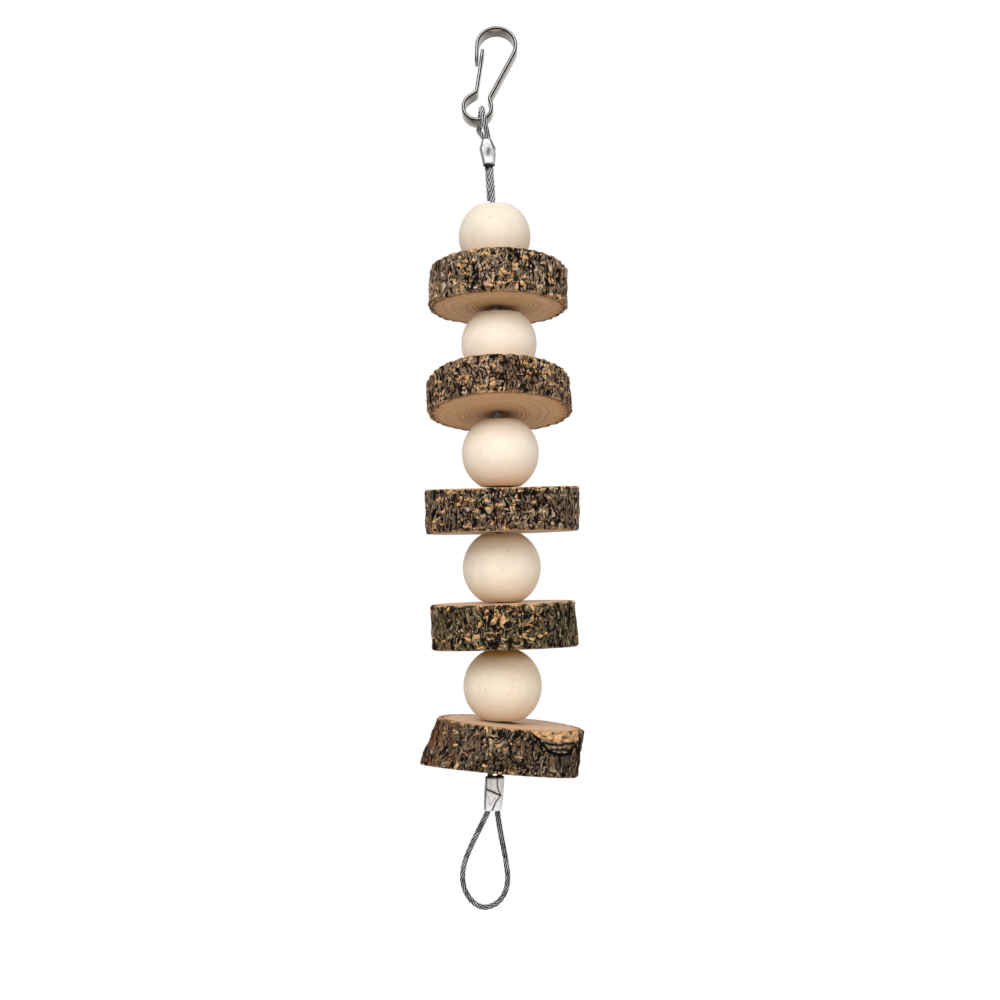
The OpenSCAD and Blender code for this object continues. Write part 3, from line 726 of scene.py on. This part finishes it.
def make_sleeves():
    """The upper sleeve, a barrel pressed by six planes, and the lower one, an oval with crossed creases"""
    def upper_wide(s):
        return np.interp(s, [0, 0.5, 0.62, 0.68, 1], [1.8, 2.5, 2.7, 2.7, 1.55])

    def upper_deep(s):
        return np.interp(s, [0, 0.62, 0.68, 1], [1.95, 2.3, 2.3, 1.9])

    flats = [(way, 2.12, -0.09, 0.6) for way in (0, 180)]
    slants = [(way, 2.42, -0.16, 0.65) for way in (52, -52, 128, -128)]
    pressed_sleeve("upper_sleeve", "upper_ferrule", UPPER_BOTTOM, UPPER_TOP, upper_wide, upper_deep,
                   flats + slants,
                   [],
                   # Painted dark reflections down the sides and over the middle, and painted shade round the
                   # mouth at the bottom
                   [(1.0, 0.5, (-1.25, 8.1), (-2.15, 5.4), (-1.55, 0.9)), (1.1, 0.65, (1.1, 8.1), (2.1, 5.5)),
                    (0.8, 0.45, (2.1, 5.5), (1.9, 1.2)), (0.92, 1.8, (0.0, 3.7), (0.35, 4.9)),
                    (0.45, 0.5, (-1.3, 6.2), (0.2, 6.9), (1.3, 6.0)),
                    (0.5, 0.4, (-1.3, 6.2), (-0.2, 2.6), (1.4, 3.2)), (1.3, 0.9, (-2.2, 0.2), (2.2, 0.2))],
                   (1.4, 0.3), (0.2, 0.3))

    def lower_wide(s):
        return np.interp(s, [0, 0.3, 0.8, 1], [2.78, 3.0, 3.1, 3.0])

    def lower_deep(s):
        return np.interp(s, [0, 0.3, 0.8, 1], [1.85, 2.0, 2.0, 1.9])

    pressed_sleeve("lower_sleeve", "lower_ferrule", LOWER_BOTTOM, LOWER_TOP, lower_wide, lower_deep,
                   [(0, 1.92, 0, 0), (180, 1.92, 0, 0), (48, 2.75, 0, 0), (-58, 2.9, 0, 0)],
                   [(0.46, 0.46, (-3.0, 7.1), (-1.0, 6.4), (2.35, 4.95)),
                    (0.36, 0.36, (0.8, 10.8), (1.1, 7.7), (2.35, 4.95)),
                    (0.38, 0.38, (2.35, 4.95), (0.9, 3.0), (-0.3, 0.0)),
                    (0.18, 0.28, (-2.0, 5.2), (-1.1, 1.8), (0.5, 4.2))],
                   # Painted dark reflections down the sides and across the front, and a painted shadow of the
                   # slice along the top
                   [(1.0, 0.42, (-2.6, 10.6), (-2.6, 7.4)), (1.0, 0.4, (-2.65, 6.6), (-2.5, 0.6)),
                    (0.28, 0.7, (-1.2, 9.6), (-1.1, 8.0)), (0.35, 0.35, (-2.7, 7.7), (-1.0, 7.1), (2.0, 5.9)),
                    (0.22, 0.5, (2.75, 9.8), (2.85, 0.8)), (0.3, 0.35, (0.3, 0.3), (1.0, 3.4)),
                    (1.2, 0.75, (-3.0, 10.7), (3.0, 10.7))],
                   (0.2, 0.3), (1.4, 0.35))


make_sleeves()


# Turned beads, from the top one down

# Height of each bead's middle, its colour, the lean of its grain, and how much warm painted shade its two
# ends get
BEAD_Z = [-67.611, -101.75, -136.636, -172.965, -210.583]
BEAD_HUES = [(229, 216, 198), (241, 229, 211), (240, 228, 210), (239, 226, 205), (236, 221, 198)]
BEAD_LEANS = [(0.2, 0.5, 0.3), (0.9, 0.2, 1.1), (0.3, 1.2, 0.6), (1.3, 0.4, 0.2), (0.5, 0.8, 1.4)]
BEAD_TOP_SHADE = [0, 0, 0.35, 0.75, 1.3]
BEAD_LOW_SHADE = [0.3, 0.3, 0.5, 0.6, 0.4]
BEAD_BORE_R = 3.0
BEAD_SIDES = 120
BEAD_ROWS = 56
# The sanded skin lies this far inside the true sphere, and this much further in its shallow hollows
SKIN_IN, HOLLOW_IN = 0.02, 0.05


def bead_profile(radius, up, down):
    """Radius and height round half a bead's section: mouth and flat below, the ball, and the same above"""
    def end(way, reach):
        """From the bore out to the rim of one flat end, which lies at this reach from the middle"""
        rim = math.sqrt(radius ** 2 - reach ** 2)
        mouth = [(BEAD_BORE_R, reach - 0.5), (BEAD_BORE_R + 0.03, reach - 0.15), (BEAD_BORE_R + 0.16, reach)]
        flat = [(r, reach) for r in np.linspace(BEAD_BORE_R + 0.5, rim - 0.35, 4)]
        return [(r, way * z) for r, z in mouth + flat]

    turn = np.linspace(-math.asin(down / radius) + 0.02, math.asin(up / radius) - 0.02, BEAD_ROWS)
    ball = [(radius * math.cos(a), radius * math.sin(a)) for a in turn]
    return np.array(end(-1, down) + ball + end(1, up)[::-1])


def make_bead(i):
    """A ball with flat ends round its bore, sized by the CAD bead's box"""
    node = f"ball_{i + 1}"
    low, high = (np.array(corner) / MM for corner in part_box(node))
    centre = np.array(((low[0] + high[0]) / 2, (low[1] + high[1]) / 2, BEAD_Z[i]))
    radius = (high[0] - low[0]) / 2
    up, down = high[2] - centre[2], centre[2] - low[2]
    profile = bead_profile(radius, up, down)
    r, z = profile[:, :1], profile[:, 1:]
    angle = 2 * math.pi * np.arange(BEAD_SIDES) / BEAD_SIDES
    points = np.stack([r * np.cos(angle), r * np.sin(angle), z + 0 * angle], axis=-1).reshape(-1, 3)
    far = np.linalg.norm(points, axis=1)
    on_ball = np.abs(far - radius) < 0.05
    inward = SKIN_IN + HOLLOW_IN * np.abs(noise(points, 9, 40 + i)) * on_ball
    points = points * (1 - inward / far)[:, None]
    cut = (z > up - 0.05) | (z < 0.05 - down) | (r < BEAD_BORE_R + 0.2)
    lift = points[:, 2] / radius
    # How much painted shade each point gets, near the top and the bottom
    painted_shade = BEAD_TOP_SHADE[i] * smooth(lift, 0.6, 0.95) + BEAD_LOW_SHADE[i] * smooth(-lift, 0.6, 0.95)
    bead = make_mesh(f"bead_{i + 1}", points + centre, [grid_faces(len(profile), BEAD_SIDES, wrap_rows=True)],
                     {"cut": np.repeat(cut.astype(float), BEAD_SIDES), "painted_shade": np.clip(painted_shade, 0, 1)})
    dress(bead, node, "pale_wood", bead_look(f"pale_wood_{i + 1}", BEAD_LEANS[i], BEAD_HUES[i]), node)


for bead in range(len(BEAD_Z)):
    make_bead(bead)


# Branch slices, from the top one down

SLICE_AT = [(-1.543, -6.224, -84.232), (-1.443, -6.324, -118.697), (-1.443, -6.524, -154.682),
            (-1.543, -6.324, -191.406), (-2.393, -6.524, -229.839)]
SLICE_H = [12.7, 11, 14.1, 14.5, 15.4]
# Degrees that a slice tips back and leans, and the angle between its two faces
SLICE_PITCH = [7.7, 12.9, -1, 0.7, 3.1]
SLICE_ROLL = [0.5, -0.5, -0.5, -0.8, 6.1]
SLICE_WEDGE = [3.4, 3.2, -2.5, -1.7, -3.8]
SLICE_BORE_R = 2.5
SLICE_SIDES, SIDE_ROWS, FACE_ROWS = 700, 66, 15
# A usual radius for the wedge's heights, where rays towards the bark start, and where they may meet it
SLICE_R, RAY_FROM, LEAST_R = 23.0, 40, 15
PITH = [(2.0, -1.0), (-1.5, 1.5), (1.0, 2.0), (-2.0, -1.0), (1.5, -1.5)]
FLECKS = [0.07, 0.07, 0.05, -0.02, -0.12]
WOOD_PALE = [0, 0, 0.15, 0.28, 0.28]
BARK_GREY = [(120, 97, 74), (118, 92, 68), (106, 84, 65), (94, 78, 52), (92, 73, 54)]
BARK_CREST_HIGHLIGHT = [(208, 190, 166), (202, 182, 156), (188, 170, 146), (174, 158, 120), (176, 158, 130)]
BARK_MOSS = [(120, 94, 66), (114, 88, 60), (104, 80, 56), (92, 88, 50), (106, 82, 56)]
SLICE_SEEDS = [100, 200, 300, 400, 500]
# The slice with a bare patch in front and the one with a lifted chip, counted from 0
PATCHED, CHIPPED = 3, 4


def off_front(angle):
    """Degrees from the viewer's side, positive to the right"""
    return np.degrees(np.angle(np.exp(1j * (angle + math.pi / 2))))


def bark_reach(node, centre, turn, angle, heights):
    """Radius of a slice's CAD mesh at each height (rows) and angle (columns), in the slice's own axes"""
    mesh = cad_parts[node].data
    raw = np.empty(len(mesh.vertices) * 3, np.float32)
    mesh.vertices.foreach_get("co", raw)
    local = (raw.reshape(-1, 3).astype(float) / MM - centre) @ turn
    tree = BVHTree.FromPolygons([tuple(v) for v in local], [tuple(f.vertices) for f in mesh.polygons])
    reach = np.empty(heights.shape)
    for k, a in enumerate(angle):
        ahead = Vector((math.cos(a), math.sin(a), 0))
        for j, z in enumerate(heights[:, k]):
            hit = tree.ray_cast(ahead * RAY_FROM + Vector((0, 0, z)), -ahead)[0]
            met = hit is not None and hit.dot(ahead) > LEAST_R
            reach[j, k] = math.hypot(hit.x, hit.y) if met else np.nan
    # A ray that passes a rim takes the radius of the row next to it
    for j in range(len(reach)):
        if np.isnan(reach[j]).any():
            other = reach[j + 1] if j < len(reach) / 2 else reach[j - 1]
            reach[j] = np.where(np.isnan(reach[j]), other, reach[j])
    weights = ((-2, 1), (-1, 2), (0, 3), (1, 2), (2, 1))
    return sum(w * np.roll(reach, step, axis=1) for step, w in weights) / sum(w for _, w in weights)


def bark_values(log, angle, seed, flecks):
    """What the bark does at points round the log: dent in mm, painted shade, fleck and tone from 0 to 1"""
    # The pattern is bent by swirls and curls in front and runs straighter and longer at the flanks
    swirl = np.stack([fractal(log, (4.6, 4.6, 5.4), seed + k, 2) for k in range(3)], axis=1)
    curl = np.stack([noise(log, (1.9, 1.9, 2.4), seed + 5 + k) for k in range(3)], axis=1)
    flank = smooth(np.abs(np.cos(angle)), 0.55, 0.9)
    bent = log + (1.2 * swirl + 0.45 * curl) * (1 - 0.5 * flank)[:, None]
    bent[:, 2] *= 1 - 0.4 * flank

    # Long cracks, splits between curled plates, and pits, dented and darkened with painted shade
    crack = 1 - smooth(np.abs(fractal(bent, (1.7, 1.7, 7.5), seed + 11, 2, 0.35)), 0.025, 0.115)
    worm = np.sin(11.5 * fractal(bent, (2.3, 2.3, 4.6), seed + 13, 2, 0.3))
    split = (1 - smooth(worm, -0.99, -0.7)) * smooth(noise(log, 3.5, seed + 41), -0.6, 0.0)
    pit = smooth(noise(bent, (1.3, 1.3, 1.9), seed + 23), 0.6, 0.85)
    fine = fractal(bent, (0.6, 0.6, 1.2), seed + 31, 2)
    dark = np.clip(np.maximum(crack, 0.95 * split) + 0.8 * pit, 0, 1)
    dent = 0.34 * np.maximum(crack, 0.75 * split) + 0.22 * pit + 0.05 * (1 + fine)

    # The plates' tone, with a painted highlight on their lips
    lip = smooth(worm, 0.72, 0.96) * smooth(noise(log, (2.2, 2.2, 2.6), seed + 47), -0.25, 0.35)
    broad = noise(log, (6, 6, 9), seed + 57)
    tone = np.clip(0.45 + 0.12 * worm + 0.26 * fine + 0.32 * lip + 0.14 * broad, 0, 1)

    # Flecks where the bark has flaked off, as round scales and level bars, and most of them in front
    front = np.exp(-(np.radians(off_front(angle)) / 0.75) ** 2)
    local = 0.28 * noise(log, 7, seed + 67) + 0.16 * front + flecks
    scale = noise(log + 0.7 * swirl + 0.3 * curl, (2.5, 2.5, 1.35), seed + 61) + local
    bar = noise(log + 0.4 * swirl, (3.6, 3.6, 0.9), seed + 63) + local
    fleck = np.maximum(smooth(scale, 0.62, 0.7), smooth(bar, 0.66, 0.73))
    return dent, dark, fleck * (1 - 0.7 * crack), tone


def lifted_chip(off, down):
    """The lowest slice's loose plate: shares of its bare orange top, its wavy grey plate and the gap under it
    """
    low_edge = np.interp(off, [20, 26, 37, 48, 59, 68], [0.2, 2.2, 6.6, 7.6, 7.0, 3.8])
    inside = smooth(off, 19, 23) * (1 - smooth(off, 66, 70))
    bare_edge = np.interp(off, [20, 30, 46, 66], [1.4, 2.6, 3.6, 3.0])
    bare = inside * (1 - smooth(down, bare_edge - 0.3, bare_edge + 0.3))
    plate = inside * (1 - smooth(down, low_edge - 0.3, low_edge)) * (1 - bare)
    gap = inside * np.exp(-((down - low_edge - 0.25) / 0.42) ** 2)
    return bare, plate, gap


def slice_bark(i, log, angle, share, furrow, half_h):
    """Dent, painted shade, fleck, tone and rust at points of a slice's bark; share is their height from 1 to
    -1
    """
    seed = SLICE_SEEDS[i]
    dent, dark, fleck, tone = bark_values(log, angle, seed, FLECKS[i])
    # Painted shade in the furrows of the CAD bark
    dark = np.clip(dark + 0.55 * smooth(furrow, 0.5, 1.2), 0, 1)
    rust = 0.3 * smooth(noise(log, (4, 4, 6), seed + 91), 0.1, 0.6)
    off = off_front(angle)

    # Sawn rims: crumbled a little, with fresh wood showing, more of it above
    rim = (1 - np.abs(share)) * half_h
    crumble = np.clip(1 - rim / 0.5, 0, 1) ** 2 * (0.06 + 0.22 * np.abs(noise(log, 1.6, seed + 71)))
    chips = smooth(noise(log, (3.2, 3.2, 3), seed + 73), -0.25, 0.2) * np.where(share > 0, 1, 0.5)
    fleck = np.maximum(fleck, (1 - smooth(rim, 0.15, 0.75)) * chips)
    dark = dark * smooth(rim, -0.2, 0.45)

    if i == PATCHED:
        patch = np.exp(-((off + 2) / 9) ** 2 - ((log[:, 2] - 2.6) / 3.4) ** 2)
        fleck = np.maximum(fleck, smooth(patch + 0.35 * noise(log, 1.3, 905), 0.5, 0.75) * (1 - dark))
    if i == CHIPPED:
        bare, plate, gap = lifted_chip(off, half_h - share * half_h)
        waves = np.sin(3.4 * log[:, 2] + 2.2 * noise(log, 3, 901) + 1.2 * np.sin(3 * angle))
        dent = dent * (1 - 0.6 * bare - 0.6 * plate) + 0.75 * gap + 0.1 * plate * waves
        # Painted shade in the plate's troughs and a painted shadow in the gap under it, and painted highlight
        # on its crests
        trough_shade = 0.45 * plate * smooth(-waves, 0.4, 1)
        dark = np.clip(dark * (1 - bare) * (1 - 0.8 * plate) + gap + trough_shade, 0, 1)
        fleck = np.maximum(fleck * (1 - plate), bare * smooth(noise(log, (2.5, 2.5, 0.9), 903), -0.5, 0.0))
        tone = np.clip(tone + 0.35 * plate * waves, 0, 1)
        left = smooth(-off, 42, 62) * (1 - smooth(-off, 95, 125))
        rust = np.maximum(rust, 0.7 * left * smooth(noise(log, (3, 3, 5), 907), -0.5, 0.2))
    return dent + crumble, dark, fleck, tone, rust


def ring_values(points, i):
    """Distance from the slice's pith in slightly wavy rings"""
    x, y = points[:, 0] - PITH[i][0], points[:, 1] - PITH[i][1]
    spoke = np.arctan2(y, x)
    waves = 0.05 * np.sin(2 * spoke + i) + 0.03 * np.sin(3 * spoke + 2 * i) + 0.015 * np.sin(7 * spoke)
    return np.hypot(x, y) * (1 + waves)


def make_slice(i):
    """A sawn slice whose bark starts from the CAD slice's own surface and gains its finer relief"""
    node = f"slice_{i + 1}"
    turn = np.array((Matrix.Rotation(math.radians(SLICE_ROLL[i]), 3, "Y")
                     @ Matrix.Rotation(math.radians(-SLICE_PITCH[i]), 3, "X")))
    centre = np.array(SLICE_AT[i])
    half_h = SLICE_H[i] / 2
    lean = math.tan(math.radians(SLICE_WEDGE[i] / 2))
    angle = 2 * math.pi * np.arange(SLICE_SIDES) / SLICE_SIDES
    # The side's rows, from 1 at the upper rim to -1 at the lower one and closer together near the rims
    rise = np.linspace(1, -1, SIDE_ROWS)
    rise = np.sign(rise) * (1 - (1 - np.abs(rise)) ** 1.1)

    def height(share, y):
        return share * (half_h - y * lean)

    at = height(0.985 * rise[:, None], SLICE_R * np.sin(angle)[None, :])
    reach = bark_reach(node, centre, turn, angle, at)
    widest = np.max([np.roll(reach, step, axis=1) for step in range(-18, 19)], axis=0)
    wide_angle = np.tile(angle, SIDE_ROWS)
    log = np.stack([reach.mean() * np.cos(wide_angle), reach.mean() * np.sin(wide_angle), at.ravel()], axis=1)
    bark = slice_bark(i, log, wide_angle, np.repeat(rise, SLICE_SIDES), (widest - reach).ravel(), half_h)
    dent, dark, fleck, tone, rust = (v.reshape(SIDE_ROWS, SLICE_SIDES) for v in bark)
    side_r = reach - dent

    # Rows of points: down the bore's mouth, out over the upper face, down the bark and back in below
    inner = np.linspace(0, 1, FACE_ROWS + 1)[:-1] ** 0.75
    rows = [("bore", 0.6, 0), ("bore", 0.95, 0)] + [("face", 1, s) for s in inner]
    rows += [("side", r, k) for k, r in enumerate(rise)]
    rows += [("face", -1, s) for s in inner[::-1]] + [("bore", -0.95, 0), ("bore", -0.6, 0)]
    points, values = [], {key: [] for key in ("side", "depth", "fleck", "tone", "rust", "edge")}
    for kind, share, k in rows:
        if kind == "side":
            r = side_r[k]
            row = (1, dark[k], fleck[k], tone[k], rust[k], 0)
        else:
            full = side_r[0 if share > 0 else -1]
            r = np.full(SLICE_SIDES, SLICE_BORE_R)
            if kind == "face":
                r += 0.12 + k * (full - SLICE_BORE_R - 0.3)
            row = (0, 0, 0, 0, 0, full - r)
        x, y = r * np.cos(angle), r * np.sin(angle)
        sag = 0
        if kind == "face":
            sag = 0.05 * np.abs(noise(np.stack([x, y, 0 * x], axis=1), 5, SLICE_SEEDS[i] + 81))
        points.append(np.stack([x, y, height(share, y) - share * sag], axis=1))
        for key, v in zip(values, row):
            values[key].append(v + np.zeros(SLICE_SIDES))
    points = np.concatenate(points)
    values = {key: np.concatenate(v) for key, v in values.items()}
    values["ring"] = ring_values(points, i)
    obj = make_mesh(f"branch_slice_{i + 1}", points @ turn.T + centre,
                    [grid_faces(len(rows), SLICE_SIDES, wrap_rows=True)[:, ::-1]], values)
    look = bark_look(f"bark_{i + 1}", BARK_GREY[i], BARK_CREST_HIGHLIGHT[i], BARK_MOSS[i], WOOD_PALE[i])
    dress(obj, node, "bark_wood", look, node)


for branch_slice in range(len(SLICE_AT)):
    make_slice(branch_slice)
